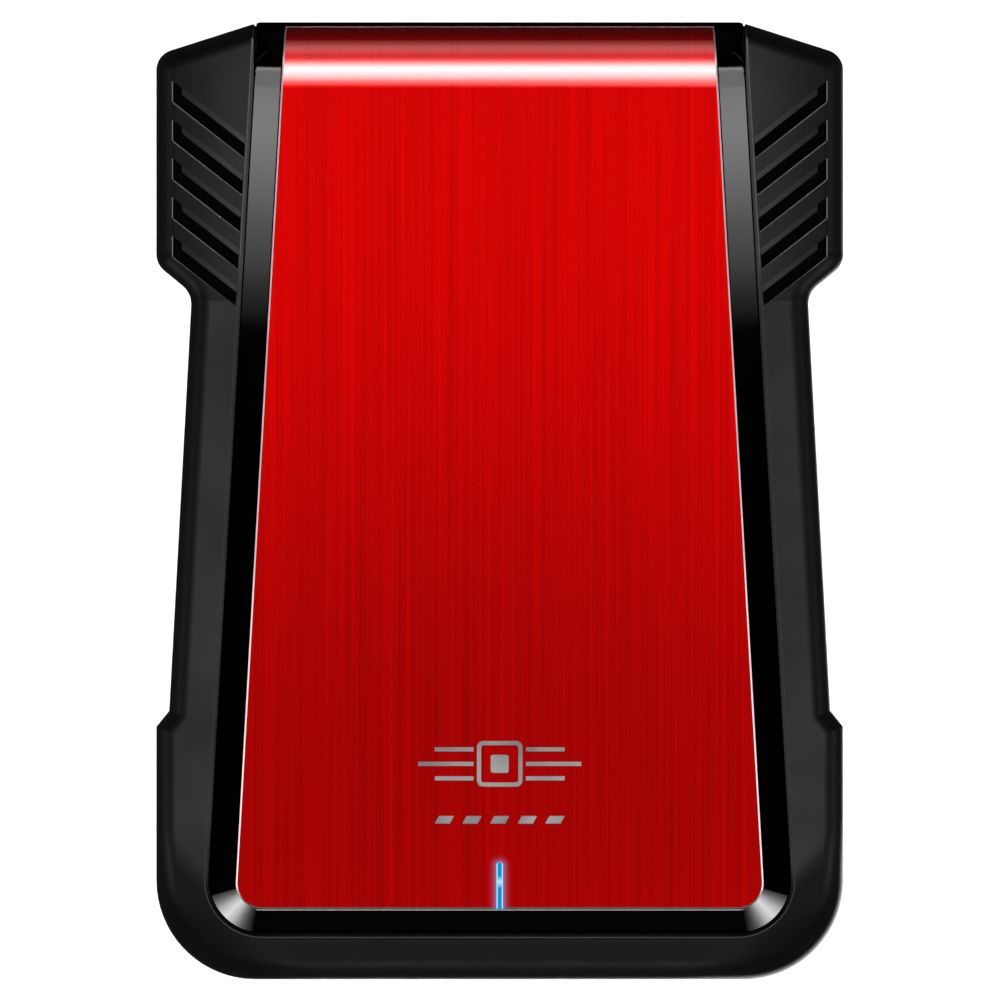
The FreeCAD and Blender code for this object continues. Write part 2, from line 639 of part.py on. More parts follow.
def make_blank_label():
    bottom = "foot_height + label_recess - label_sheet"
    body = new_body("blank_label")
    pad(body, "sheet", bottom, "foot_height + label_recess",
        [rectangle("-label_half_width + label_gap", "label_half_width - label_gap",
                   "-label_half_length + label_gap", "label_half_length - label_gap",
                   "label_corner - label_gap")])
    return keep(body)


def make_drive_pads():
    """Four soft blocks on the floor that carry the drive."""
    members = []
    for row, y in enumerate(("pad_back_row_y", "pad_front_row_y")):
        for side, across in enumerate((("pad_inner", "pad_outer"), ("-pad_outer", "-pad_inner"))):
            members.append(box(f"drive_pad_{row}_{side}", across,
                               (f"{y} - pad_half_length", f"{y} + pad_half_length"),
                               ("floor_top", "drive_bottom")))
    return keep(group("drive_pads", members))


# ---------------------------------------------------------------- base: bridge board

def board_screw_spots():
    y = "-board_back_y + board_screw_end"
    return [("-board_left + board_screw_inset", y), ("board_right - board_screw_inset", y)]


def make_bridge_board():
    body = new_body("bridge_board")
    pad(body, "sheet", "board_bottom", "board_top",
        [rectangle("-board_left", "board_right", "-board_back_y", "-board_front_y",
                   "board_corner")])
    circle_pocket(body, "screw_ways", "board_top", "board_top - board_bottom", board_screw_spots(),
                  "board_screw_radius + board_screw_gap")
    return keep(body)


def make_board_screws():
    members = []
    for index, (x, y) in enumerate(board_screw_spots()):
        members.append(screw(f"board_screw_{index}", x, y, "board_top", "board_screw_tip",
                             "board_screw_head", "board_screw_head_radius", "board_screw_radius"))
    return keep(group("board_screws", members))


def port_outline(shrink):
    """Two lobes side by side: a wide one with bevelled lower corners and a narrow one."""
    left = f"port_x - port_half + {shrink}"
    right = f"port_x + port_half - {shrink}"
    low = f"board_top + {shrink}"
    high = f"board_top + port_height - {shrink}"
    divide = "(port_x + port_lobe)"
    foot, crest = f"port_notch_foot + {shrink}", f"port_notch_crest + {shrink}"
    notch_top = f"{low} + port_notch"
    return [
        (left, high), (left, f"{low} + port_bevel"), (f"{left} + port_bevel", low),
        (f"{divide} - ({foot})", low), (f"{divide} - ({crest})", notch_top),
        (f"{divide} + {crest}", notch_top), (f"{divide} + {foot}", low),
        (right, low), (right, high),
    ]


def make_usb_shell():
    body = new_body("usb_shell")
    pad(body, "sleeve", "port_back_y", "port_front_y", [port_outline("0")], "XZ_Plane")
    pocket(body, "way_in", "port_front_y", "port_front_y - port_back_y - port_skin",
           [port_outline("port_skin")], "XZ_Plane")
    return keep(body)


def make_usb_tongue():
    """The insulator: a block at the back of the sleeve and a thin tongue for the contacts."""
    body = new_body("usb_tongue")
    pad(body, "block", "port_back_y + port_skin", "tongue_root_y", [port_outline("port_skin")],
        "XZ_Plane")
    tongue = rectangle("port_x - tongue_half", "port_x + tongue_half", "tongue_bottom", "tongue_top")
    pad(body, "tongue", "tongue_root_y", "tongue_tip_y", [tongue], "XZ_Plane")
    return keep(body)


def make_sata_socket():
    """The socket on the bridge board: a block with a nose that enters the drive's plug."""
    body = new_body("sata_socket")
    block = rectangle("-plug_left", "plug_right", "board_top", "plug_top")
    pad(body, "block", "socket_face_y", "socket_back_y", [block], "XZ_Plane")
    inset = "plug_wall + connector_gap"
    nose = rectangle(f"-plug_left + {inset}", f"plug_right - ({inset})",
                     f"plug_bottom + {inset}", f"plug_top - ({inset})")
    pad(body, "nose", "nose_tip_y", "socket_face_y", [nose], "XZ_Plane")
    middle = "((plug_bottom + plug_top) / 2)"
    slot = rectangle("-plug_left + blade_side - connector_gap", "plug_right - blade_side + connector_gap",
                     f"{middle} - blade_half - connector_gap", f"{middle} + blade_half + connector_gap")
    pocket(body, "blade_slot", "nose_tip_y", "socket_back_y - blade_slot_floor - nose_tip_y", [slot],
           "XZ_Plane", reverse=True)
    return keep(body)


def contact_middles():
    """Places of the narrow data contacts and the wider row of power contacts across the blade."""
    rows = (("data_first", DATA_CONTACTS), ("power_first", POWER_CONTACTS))
    return [f"-plug_left + {first} + {index} * contact_pitch"
            for first, count in rows for index in range(count)]


def make_sata_contacts():
    """Legs of the socket's contacts, soldered to the board behind the block."""
    members = []
    for index, middle in enumerate(contact_middles()):
        members.append(box(f"sata_leg_{index}", (f"{middle} - leg_half", f"{middle} + leg_half"),
                           ("-socket_back_y - leg_length", "-socket_back_y"),
                           ("board_top", "board_top + leg_height")))
    return keep(group("sata_socket_contacts", members))


def make_board_parts():
    for label in ("bridge_chip", "firmware_chip", "clock_crystal", "power_inductor", "activity_led"):
        keep(block(label))
    keep(block_row("board_capacitors"))
    keep(block_row("usb_contacts"))


# ---------------------------------------------------------------- lock

def make_lock():
    """The knob under the floor, the latch above it, and the screw that joins them."""
    knob = new_body("lock_knob")
    knob_top = "knob_bottom + knob_height"
    pad(knob, "plate", "knob_bottom", knob_top,
        [rectangle("knob_inner", "knob_outer", "-knob_back_y", "-knob_front_y", "knob_corner")])
    grooves = []
    for index in range(GRIP_GROOVES):
        left = f"(knob_inner + grip_first + {index} * grip_pitch)"
        grooves.append(rectangle(left, f"{left} + grip_width", "-knob_back_y + grip_margin",
                                 "-knob_front_y - grip_margin"))
    pocket(knob, "grip", "knob_bottom + grip_depth", "grip_depth", grooves)
    pad(knob, "neck", knob_top, "neck_top",
        [rectangle("neck_inner", "neck_outer", "-neck_back_y", "-neck_front_y")])
    middle = [("(neck_inner + neck_outer) / 2", "-(neck_front_y + neck_back_y) / 2")]
    circle_pocket(knob, "pilot", "neck_top", "lock_pilot_depth", middle, "lock_screw_radius")
    keep(knob)
    latch = new_body("lock_latch")
    pad(latch, "plate", "neck_top", "latch_top",
        [rectangle("latch_inner", "latch_outer", "-latch_back_y", "-latch_front_y")])
    pad(latch, "finger", "latch_top", "finger_top",
        [rectangle("finger_inner", "finger_outer", "-finger_back_y", "-finger_front_y")])
    circle_pocket(latch, "screw_way", "latch_top", "latch_top - neck_top", middle, "lock_screw_way")
    keep(latch)
    keep(screw("lock_screw", *middle[0], "latch_top", "neck_top - lock_screw_reach",
               "lock_screw_head", "lock_screw_head_radius", "lock_screw_radius"))


# ---------------------------------------------------------------- cover

def make_face_plate():
    """Thin metal sheet: flat, then rolled down over the narrow end."""
    body = new_body("face_plate")
    end_y = "roll_start_y + roll_radius"
    inner_top = "plate_top - plate_thickness"
    sheet_profile = [
        ("-plate_foot_y - overlap", "plate_top"), ("-plate_foot_y - overlap", inner_top),
        (f"{end_y} - plate_thickness", inner_top, "roll_radius - plate_thickness"),
        (f"{end_y} - plate_thickness", "plate_end_height"), (end_y, "plate_end_height"),
        (end_y, "plate_top", "roll_radius"),
    ]
    pad(body, "sheet", "-half_width", "half_width", [sheet_profile], "YZ_Plane")
    outside = rectangle("-far_out", "far_out", "-far_out", "far_out")
    inside = tapered_outline("0", "0", "plate_corner_radius", "far_out - overlap")
    pocket(body, "trim", "far_out", "far_out", [outside, inside])
    soften(body, "bright_edge", "Chamfer", "plate_bevel", on_plate_skin)
    slot = arched("pipe_half + pipe_clearance", "-far_out", "-pipe_top_y")
    pocket(body, "light_slot", "far_out", "far_out", [slot])
    return keep(body)


def on_plate_skin(edge):
    """True for the side and foot edges of the plate's outer skin, down to the end of the roll."""
    roll_y, radius = value("roll_start_y"), value("roll_radius")
    top = value("plate_top")
    roll_z = top - radius
    for point in points_along(edge):
        if point.y <= roll_y + LEAST_CUT:
            distance = abs(point.z - top)
        elif point.z < roll_z - LEAST_CUT:
            distance = abs(point.y - roll_y - radius)
        else:
            distance = abs(math.hypot(point.y - roll_y, point.z - roll_z) - radius)
        if distance > ON_PLANE:
            return False
    bounds = edge.BoundBox
    at_end = bounds.ZMax < value("plate_end_height") + ON_PLANE
    across_roll = bounds.YLength < LEAST_CUT and bounds.YMin > 0
    return not at_end and not across_roll


def make_light_pipe():
    """Clear blade in the plate's slot, with a leg that reaches down towards the light on the board."""
    body = new_body("light_pipe")
    pad(body, "blade", "cover_ceiling", "plate_top + pipe_proud",
        [arched("pipe_half", "-plate_foot_y", "-pipe_top_y")])
    pad(body, "leg", "pipe_leg_bottom", "cover_ceiling",
        [rectangle("-pipe_leg_half", "pipe_leg_half", "-pipe_leg_back_y", "-pipe_leg_front_y")])
    return keep(body)


def lip_outline():
    corner_y = "half_length - lip_corner_drop"
    inner = "half_length - lip_thickness"
    return both_sides([("end_half_width", "half_length"), ("lip_half_width", corner_y),
                       ("lip_half_width", inner)])


def hook_loops():
    """Stretches of hook along the right-hand rail, spaced evenly."""
    loops = []
    for index in range(HOOKS_PER_SIDE):
        start = f"(-web_foot_y + hook_first + {index} * hook_pitch)"
        loops.append(rectangle("web_inner", "hook_outer", start, f"{start} + hook_length"))
    return loops


def make_crown(body):
    """The bevelled block that rolls down at the narrow end."""
    radius = "(roll_radius - (plate_top - cover_top))"
    land_end = f"(roll_start_y + {radius})"
    pad(body, "crown", "lip_top", "cover_top",
        [tapered_outline("bezel_side - rim_width", "bezel_foot - rim_width",
                         "bezel_corner_radius - rim_width", land_end)])
    top, end_y = value("cover_top"), value(land_end)
    soften(body, "bevel", "Chamfer", "bezel_bevel",
           lambda edge: edge.BoundBox.ZMin > top - ON_PLANE and edge.BoundBox.YMin < end_y - ON_PLANE)
    roll = [("roll_start_y - roll_lead", "cover_top"), (land_end, "cover_top", radius),
            (land_end, "lip_top - overlap"), ("far_out", "lip_top - overlap"), ("far_out", "far_out"),
            ("roll_start_y - roll_lead", "far_out")]
    pocket(body, "roll", "half_width", "half_width * 2", [roll], "YZ_Plane")
    cut_flanks(body, radius)
    below = rectangle("-far_out", "mouth_y + cover_end_gap", "lip_top - overlap", "cover_bottom")
    pocket(body, "underside", "half_width", "half_width * 2", [below], "YZ_Plane")


def cut_flanks(body, radius):
    """Rolls the bevelled flanks down with the crown: its own arc, carried outward and down."""
    before = body.Shape.Volume
    stretch = "sqrt(1 + taper ^ 2)"
    level = f"plate_half + bezel_side - rim_width - (bezel_bevel + overlap) * {stretch}"
    start_y, high = f"roll_start_y * {stretch}", "cover_top + overlap"
    end_y = f"{start_y} + {radius} * {stretch}"
    sketch = draw(body, "flank_sketch", "YZ_Plane", level, [[
        (f"{start_y} - flank_lead", high), (end_y, high, f"{radius} * {stretch}"),
        (end_y, "lip_top"), (f"{end_y} + overlap", "lip_top"),
        (f"{end_y} + overlap", f"{high} + overlap"),
        (f"{start_y} - flank_lead", f"{high} + overlap")]])
    taper = value("taper")
    turn = FreeCAD.Rotation(Vector(0, 1, 0), math.degrees(math.atan(taper)))
    sketch.AttachmentOffset = FreeCAD.Placement(Vector(0, 0, value(level)), turn)
    sketch.setExpression(".AttachmentOffset.Rotation.Angle", bound("atan(taper)"))
    flank = body.newObject("PartDesign::Pocket", "right_flank")
    flank.Profile = sketch
    flank.UseCustomVector = True
    flank.Direction = Vector(1, taper, -value(stretch))
    flank.setExpression("Length", bound("bezel_bevel + overlap * 2"))
    body.Tip = flank
    doc.recompute()
    mirror = body.newObject("PartDesign::Mirrored", "both_flanks")
    mirror.Originals = [flank]
    plane = next(item for item in body.Origin.OriginFeatures if item.Role == "YZ_Plane")
    mirror.MirrorPlane = (plane, [""])
    body.Tip = mirror
    doc.recompute()
    if not body.Shape.Volume < before - LEAST_CUT:
        raise RuntimeError("the flanks are not cut")


def make_cover_shell(face_plate, light_pipe):
    """Gloss bevelled cover with its end wall and the guide rails under it."""
    body = new_body("cover_block")
    make_crown(body)
    rim = tapered_outline("bezel_side", "bezel_foot", "bezel_corner_radius",
                          "mouth_y + cover_end_gap")
    pad(body, "rim", "cover_bottom", "rim_top", [rim])
    pad(body, "lip", "cover_foot", "lip_top", [lip_outline()])
    end = "half_length - lip_thickness"
    hollow = [("-cover_hollow_foot_y", "0"), (end, "0"), (end, "cover_ceiling", "cover_hollow_radius"),
              ("-cover_hollow_foot_y", "cover_ceiling")]
    pocket(body, "hollow", "cover_hollow_half", "cover_hollow_half * 2", [hollow], "YZ_Plane")
    web = rectangle("web_inner", "web_outer", "-web_foot_y", "web_end_y")
    pad(body, "webs", "hook_bottom", "cover_bottom", [web, mirrored(web)])
    hooks = hook_loops()
    pad(body, "hooks", "hook_bottom", "hook_top", hooks + [mirrored(loop) for loop in hooks])
    ribs = []
    for index in (-1, 0, 1):
        middle = f"({index} * rib_pitch)"
        ribs.append(rectangle(f"{middle} - rib_half", f"{middle} + rib_half", "-rib_foot_y",
                              "rib_end_y"))
    pad(body, "ribs", "foam_top", "cover_ceiling", ribs)
    pad(body, "catch", "foam_bottom", "cover_ceiling",
        [rectangle("catch_inner", "catch_outer", "-catch_back_y", "-catch_front_y")])
    seated = cut("cover_seated", body, face_plate)
    return keep(cut("cover_shell", seated, light_pipe))


def make_cover_foam():
    foam = box("cover_foam", ("-foam_half_width", "foam_half_width"),
               ("-rib_foot_y", "rib_end_y"), ("foam_bottom", "foam_top"))
    return keep(foam)


def make_emblem():
    """Generic mark: a square chip with three traces each side, and a row of slanted dashes."""
    body = new_body("emblem")
    body.AllowCompound = True
    half = "emblem_half"
    low, high = f"emblem_y - {half}", f"emblem_y + {half}"
    frame_outer = rectangle(f"-{half}", half, low, high, "emblem_corner")
    hollow_half = f"({half} - emblem_band)"
    frame_inner = rectangle(f"-{hollow_half}", hollow_half, f"emblem_y - {hollow_half}",
                            f"emblem_y + {hollow_half}", "emblem_inner_corner")
    core = rectangle("-core_half", "core_half", "emblem_y - core_half", "emblem_y + core_half",
                     "core_corner")
    loops = [frame_outer, frame_inner, core]
    for index in (-1, 0, 1):
        y = f"(emblem_y + {index} * trace_pitch)"
        reach = f"(trace_reach - {abs(index)} * trace_shortening)"
        trace = rectangle(f"{half} + trace_gap", reach, f"{y} - trace_half", f"{y} + trace_half")
        loops += [trace, mirrored(trace)]
    for index in range(-2, 3):
        x = f"({index} * dash_pitch)"
        loops.append([(f"{x} - dash_half - dash_lean", "dash_y - dash_half_height"),
                      (f"{x} + dash_half - dash_lean", "dash_y - dash_half_height"),
                      (f"{x} + dash_half + dash_lean", "dash_y + dash_half_height"),
                      (f"{x} - dash_half + dash_lean", "dash_y + dash_half_height")])
    pad(body, "mark", "plate_top", "plate_top + emblem_height", loops)
    return keep(body)


# ---------------------------------------------------------------- the 2.5-inch drive

def drive_outline(inset):
    return rectangle(f"-drive_half + {inset}", f"drive_half - {inset}", f"-drive_back_y + {inset}",
                     f"drive_end_y - {inset}", "drive_corner")


def drive_screw_spots():
    return [(sign + "drive_screw_x", y) for sign in ("", "-")
            for y in ("-drive_screw_back_y", "drive_screw_end_y")]


def plug_notch():
    return rectangle("-plug_left", "plug_right", "-drive_back_y - overlap", "-plug_back_y")


def make_drive_tray():
    body = new_body("drive_case_bottom")
    pad(body, "tray", "drive_bottom", "drive_split", [drive_outline("0")])
    low = value("drive_bottom")
    soften(body, "edge", "Chamfer", "drive_bottom_bevel",
           lambda edge: abs(edge.BoundBox.ZMax - low) < ON_PLANE)
    circle_pocket(body, "screw_wells", "drive_bottom + drive_well_depth", "drive_well_depth",
                  drive_screw_spots(), "drive_well_radius")
    circle_pocket(body, "screw_ways", "drive_split", "drive_split - drive_bottom",
                  drive_screw_spots(), "drive_way_radius")
    return keep(body)


def drive_label_outline():
    return rectangle("-drive_half + drive_label_side", "drive_half - drive_label_side",
                     "-drive_back_y + drive_label_end", "drive_end_y - drive_label_end",
                     "drive_label_corner")


def make_drive_lid():
    body = new_body("drive_case_top")
    pad(body, "lid", "drive_split", "drive_top", [drive_outline("0")])
    high = value("drive_top")
    soften(body, "edge", "Fillet", "drive_top_rounding",
           lambda edge: abs(edge.BoundBox.ZMin - high) < ON_PLANE)
    ceiling = "drive_top - drive_skin"
    pocket(body, "hollow", ceiling, f"{ceiling} - drive_split",
           [rectangle("-drive_half + drive_skin", "drive_half - drive_skin",
                      "-drive_back_y + drive_skin", "drive_end_y - drive_skin",
                      "drive_inner_corner")])
    circle_pad(body, "bosses", "drive_split", ceiling, drive_screw_spots(), "drive_boss_radius")
    circle_pocket(body, "pilots", "drive_pilot_top", "drive_pilot_top - drive_split",
                  drive_screw_spots(), "drive_screw_radius")
    pocket(body, "plug_notch", "plug_top", "plug_top - drive_split", [plug_notch()])
    pocket(body, "label_recess", "drive_top", "drive_label_recess", [drive_label_outline()])
    return keep(body)


def make_drive_label():
    body = new_body("drive_label")
    pad(body, "sheet", "drive_top - drive_label_recess", "drive_top", [drive_label_outline()])
    return keep(body)


def make_drive_screws():
    members = []
    for index, (x, y) in enumerate(drive_screw_spots()):
        members.append(screw(f"drive_case_screw_{index}", x, y, "drive_bottom + drive_well_depth",
                             "drive_screw_tip", "drive_screw_head", "drive_screw_head_radius",
                             "drive_screw_radius"))
    return keep(group("drive_case_screws", members))


def make_drive_plug():
    """Housing in the drive's end, with the contact blade inside its cavity."""
    body = new_body("drive_plug")
    block = rectangle("-plug_left", "plug_right", "plug_bottom", "plug_top")
    pad(body, "block", "plug_back_y", "drive_back_y", [block], "XZ_Plane")
    cavity = rectangle("-plug_left + plug_wall", "plug_right - plug_wall",
                       "plug_bottom + plug_wall", "plug_top - plug_wall")
    pocket(body, "cavity", "drive_back_y", "plug_depth", [cavity], "XZ_Plane")
    middle = "((plug_bottom + plug_top) / 2)"
    blade = rectangle("-plug_left + blade_side", "plug_right - blade_side",
                      f"{middle} - blade_half", f"{middle} + blade_half")
    pad(body, "blade", "drive_back_y - plug_depth", "drive_back_y - blade_setback", [blade],
        "XZ_Plane")
    return keep(body)


def make_drive_contacts():
    face = "(plug_bottom + plug_top) / 2 + blade_half"
    members = []
    for index, middle in enumerate(contact_middles()):
        members.append(box(f"drive_contact_{index}",
                           (f"{middle} - blade_contact_half", f"{middle} + blade_contact_half"),
                           ("-drive_back_y + blade_contact_setback", "-drive_back_y + plug_depth"),
                           (face, f"{face} + blade_contact_height")))
    return keep(group("drive_contacts", members))


def make_drive_electronics():
    board = new_body("drive_board")
    outline = [("-drive_board_half", "-plug_back_y"), ("drive_board_half", "-plug_back_y"),
               ("drive_board_half", "drive_board_end_y"), ("-drive_board_half", "drive_board_end_y")]
    pad(board, "sheet", "drive_board_bottom", "drive_board_top", [outline])
    keep(board)
    for label in ("drive_controller", "drive_memory", "drive_thermal_pad"):
        keep(block(label))
    keep(block_row("drive_flash"))
    keep(block_row("drive_capacitors"))


# ---------------------------------------------------------------- build, check, write

def build():
    fill_sheet()
    make_lower_shell()
    make_upper_frame()
    make_shell_screws()
    make_rubber_feet()
    make_blank_label()
    make_drive_pads()
    make_bridge_board()
    make_board_screws()
    make_usb_shell()
    make_usb_tongue()
    make_sata_socket()
    make_sata_contacts()
    make_board_parts()
    make_lock()
    face_plate = make_face_plate()
    light_pipe = make_light_pipe()
    make_cover_shell(face_plate, light_pipe)
    make_cover_foam()
    make_emblem()
    make_drive_tray()
    make_drive_lid()
    make_drive_label()
    make_drive_screws()
    make_drive_plug()
    make_drive_contacts()
    make_drive_electronics()
    doc.recompute()


def check():
    for item in doc.Objects:
        if "Invalid" in item.State or "Error" in item.State:
            raise RuntimeError(f"{item.Label} failed: {item.State}")
    for piece in pieces:
        if piece.Shape.isNull() or not piece.Shape.isValid() or not piece.Shape.Solids:
            raise RuntimeError(f"{piece.Label} has no valid solid")


def write():
    os.makedirs("parts", exist_ok=True)
    for piece in pieces:
        piece.Shape.exportStep(f"parts/{piece.Label}.step")
        bounds = piece.Shape.BoundBox
        heights = f"z {bounds.ZMin:6.2f} {bounds.ZMax:6.2f}"
        print(f"{piece.Label:22s} solids {len(piece.Shape.Solids):3d}  {heights}")


build()
check()
write()
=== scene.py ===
import math

import bmesh
import bpy
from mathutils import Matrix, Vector


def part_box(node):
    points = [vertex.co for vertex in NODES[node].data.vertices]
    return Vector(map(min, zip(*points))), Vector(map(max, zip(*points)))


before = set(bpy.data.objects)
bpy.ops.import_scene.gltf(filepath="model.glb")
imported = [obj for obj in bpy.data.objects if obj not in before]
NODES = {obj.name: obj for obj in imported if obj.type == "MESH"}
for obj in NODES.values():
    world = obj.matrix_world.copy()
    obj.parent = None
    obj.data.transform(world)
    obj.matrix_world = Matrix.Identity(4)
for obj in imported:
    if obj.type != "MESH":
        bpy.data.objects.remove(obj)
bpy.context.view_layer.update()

MM = 0.001


# ---------------------------------------------------------------- shader helpers

class Shader:
    """A material under construction, with its Principled shader and short ways to add nodes."""

    def __init__(self, name, color, roughness, **sockets):
        self.material = bpy.data.materials.new(name)
        self.material.use_nodes = True
        self.tree = self.material.node_tree
        self.surface = self.tree.nodes["Principled BSDF"]
        self.set("Base Color", (*color, 1.0))
        self.set("Roughness", roughness)
        for socket, number in sockets.items():
            self.set(socket.replace("_", " ").title().replace("Ior", "IOR"), number)
        self.place = self.node("ShaderNodeTexCoord").outputs["Object"]

    def set(self, socket, number):
        self.surface.inputs[socket].default_value = number

    def node(self, kind, **inputs):
        made = self.tree.nodes.new(kind)
        for name, number in inputs.items():
            made.inputs[name].default_value = number
        return made

    def link(self, output, target):
        self.tree.links.new(output, target)

    def stretched(self, scale):
        """The object's own coordinates, scaled per axis."""
        mapping = self.node("ShaderNodeMapping", Scale=scale)
        self.link(self.place, mapping.inputs["Vector"])
        return mapping.outputs["Vector"]

    def noise(self, scale, detail=2.0, roughness=0.5):
        """Noise from 0 to 1 with its grain set per axis, in grains per metre."""
        made = self.node("ShaderNodeTexNoise", Scale=1.0, Detail=detail, Roughness=roughness)
        self.link(self.stretched(scale), made.inputs["Vector"])
        return made.outputs["Fac"]

    def remap(self, source, low, high, to_low, to_high):
        made = self.node("ShaderNodeMapRange")
        for name, number in (("From Min", low), ("From Max", high), ("To Min", to_low), ("To Max", to_high)):
            made.inputs[name].default_value = number
        self.link(source, made.inputs["Value"])
        return made.outputs["Result"]

    def math(self, operation, first, second=None, clamp=False):
        made = self.tree.nodes.new("ShaderNodeMath")
        made.operation = operation
        made.use_clamp = clamp
        for index, item in enumerate((first, second)):
            if isinstance(item, (int, float)):
                made.inputs[index].default_value = item
            elif item is not None:
                self.link(item, made.inputs[index])
        return made.outputs[0]

    def mix(self, factor, first, second):
        """Mixes two colours; each is a tuple or another node's output."""
        made = self.tree.nodes.new("ShaderNodeMix")
        made.data_type = "RGBA"
        made.clamp_factor = False
        for index, item in ((0, factor), (6, first), (7, second)):
            if isinstance(item, (int, float)):
                made.inputs[index].default_value = item
            elif isinstance(item, tuple):
                made.inputs[index].default_value = (*item, 1.0)
            else:
                self.link(item, made.inputs[index])
        return made.outputs[2]

    def split(self, vector):
        made = self.node("ShaderNodeSeparateXYZ")
        self.link(vector, made.inputs["Vector"])
        return made.outputs

    def normal(self):
        return self.split(self.node("ShaderNodeNewGeometry").outputs["Normal"])

    def bump(self, height, distance, strength=1.0):
        made = self.node("ShaderNodeBump", Strength=strength, Distance=distance)
        self.link(height, made.inputs["Height"])
        self.link(made.outputs["Normal"], self.surface.inputs["Normal"])

    def drive(self, socket, output):
        self.link(output, self.surface.inputs[socket])


def paint(shader, *nodes):
    """Puts a material on CAD nodes."""
    for name in nodes:
        mesh = NODES[name].data
        mesh.materials.clear()
        mesh.materials.append(shader.material)


# ---------------------------------------------------------------- materials

def past(shader, source, start, softness=0.002):
    """How far past start a coordinate is, with a soft beginning."""
    over = shader.math("SUBTRACT", source, start)
    squares = shader.math("ADD", shader.math("MULTIPLY", over, over), softness * softness)
    return shader.math("MULTIPLY", shader.math("ADD", over, shader.math("SQRT", squares)), 0.5)


def both(shader, first, second):
    return shader.math("MULTIPLY", first, second)


def within(shader, source, middle, reach):
    """1 where a coordinate is no further than reach from middle."""
    distance = shader.math("ABSOLUTE", shader.math("SUBTRACT", source, middle))
    return shader.math("LESS_THAN", distance, reach)


def matte_black():
    """Spark-eroded black plastic."""
    shader = Shader("matte_black", (0.011, 0.011, 0.0115), 0.45)
    grain = shader.noise((5200, 5200, 5200), 3.0, 0.6)
    shader.drive("Roughness", shader.remap(shader.noise((90, 90, 90)), 0.3, 0.7, 0.42, 0.48))
    shader.drive("Base Color", shader.mix(grain, (0.008, 0.008, 0.0085), (0.015, 0.015, 0.0155)))
    shader.bump(grain, 0.00004, 0.5)
    return shader


def matte_frame():
    """The same plastic, gently crowned at the wings, the foot and its corners. The deep slot floors carry
    painted shade (black), the slot ledges a painted highlight (lighter grey), and the small bevels round the
    slots and round the cover's recess, and the slots' outer ends, carry painted highlights (pale lines)."""
    shader = Shader("matte_frame", (0.011, 0.011, 0.0115), 0.45)
    grain = shader.noise((5200, 5200, 5200), 3.0, 0.6)
    x, y, z = shader.split(shader.place)
    _, _, upward = shader.normal()
    low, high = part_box("upper_frame")
    aside = shader.math("ABSOLUTE", x)
    backward = shader.math("MULTIPLY", y, -1.0)
    on_wing = shader.remap(y, 0.029, 0.036, 0.0, 1.0)
    across = shader.remap(aside, 0.036, high.x, 0.0, high.x - 0.036)
    wing_rise = both(shader, shader.math("SUBTRACT", y, 0.036), 0.05)
    wing_drop = shader.math("ADD", both(shader, both(shader, across, across), -9.0), wing_rise)
    foot_drop = both(shader, past(shader, backward, 0.0600), -0.36)
    diagonal = both(shader, shader.math("ADD", aside, backward), math.sqrt(0.5))
    corner = shader.math("MAXIMUM", shader.math("SUBTRACT", diagonal, 0.0675), 0.0)
    corner_drop = both(shader, both(shader, corner, corner), -40.0)
    drops = shader.math("ADD", shader.math("ADD", both(shader, wing_drop, on_wing), foot_drop), corner_drop)
    shader.bump(shader.math("ADD", drops, both(shader, grain, 0.000008)), 1.0)
    beside = shader.remap(y, 0.028, 0.029, 1.0, 0.0)
    open_air = shader.math("MAXIMUM", shader.remap(z, 0.0172, 0.0176, 0.0, 1.0), beside)
    # Painted shade: the slot floors below the ledge level are coloured black and made fully rough, standing
    # in for the shadow down in the slots.
    painted_slot_shade = shader.math("SUBTRACT", 1.0, open_air)
    # Painted highlight: the flat upward-facing ledge part-way down each slot is coloured lighter grey
    # (0.055) and made a little less rough, standing in for light landing on it.
    below_top = both(shader, shader.remap(z, 0.0188, 0.0192, 1.0, 0.0), shader.math("SUBTRACT", 1.0, beside))
    painted_ledge_light = both(shader, both(shader, open_air, below_top), shader.math("GREATER_THAN", upward, 0.9))
    # Painted highlights: the 45-degree bevels at the frame's top face are coloured pale, 0.9 on the wings
    # and 0.35 round the cover's recess.
    painted_bevel_highlight = both(shader, within(shader, upward, math.sqrt(0.5), 0.08), within(shader, z, high.z, 0.0002))
    tone = shader.mix(grain, (0.008, 0.008, 0.0085), (0.015, 0.015, 0.0155))
    tone = shader.mix(painted_ledge_light, tone, (0.055, 0.055, 0.055))
    tone = shader.mix(both(shader, painted_bevel_highlight, on_wing), tone, (0.9, 0.9, 0.9))
    tone = shader.mix(both(shader, painted_bevel_highlight, shader.math("SUBTRACT", 1.0, on_wing)), tone, (0.35, 0.35, 0.35))
    # Painted highlight: a pale line (0.7) down the outer end of each of the five slots.
    first, pitch, height = 0.05785, 0.00562, 0.0030
    up_row = shader.math("SUBTRACT", y, first - 5 * pitch)
    beside_slot = shader.math("LESS_THAN", shader.math("MODULO", up_row, pitch), height)
    rows = within(shader, up_row, 3 * pitch + height / 2, 2 * pitch + height / 2)
    painted_slot_end_highlight = both(shader, both(shader, rows, beside_slot), within(shader, aside, 0.04747, 0.00007))
    tone = shader.mix(both(shader, painted_slot_end_highlight, open_air), tone, (0.7, 0.7, 0.7))
    shader.drive("Base Color", shader.mix(painted_slot_shade, tone, (0.0, 0.0, 0.0)))
    rough = shader.remap(shader.noise((90, 90, 90)), 0.3, 0.7, 0.42, 0.48)
    rough = shader.math("SUBTRACT", rough, both(shader, painted_ledge_light, 0.06))
    shader.drive("Roughness", shader.math("MAXIMUM", rough, painted_slot_shade))
    return shader


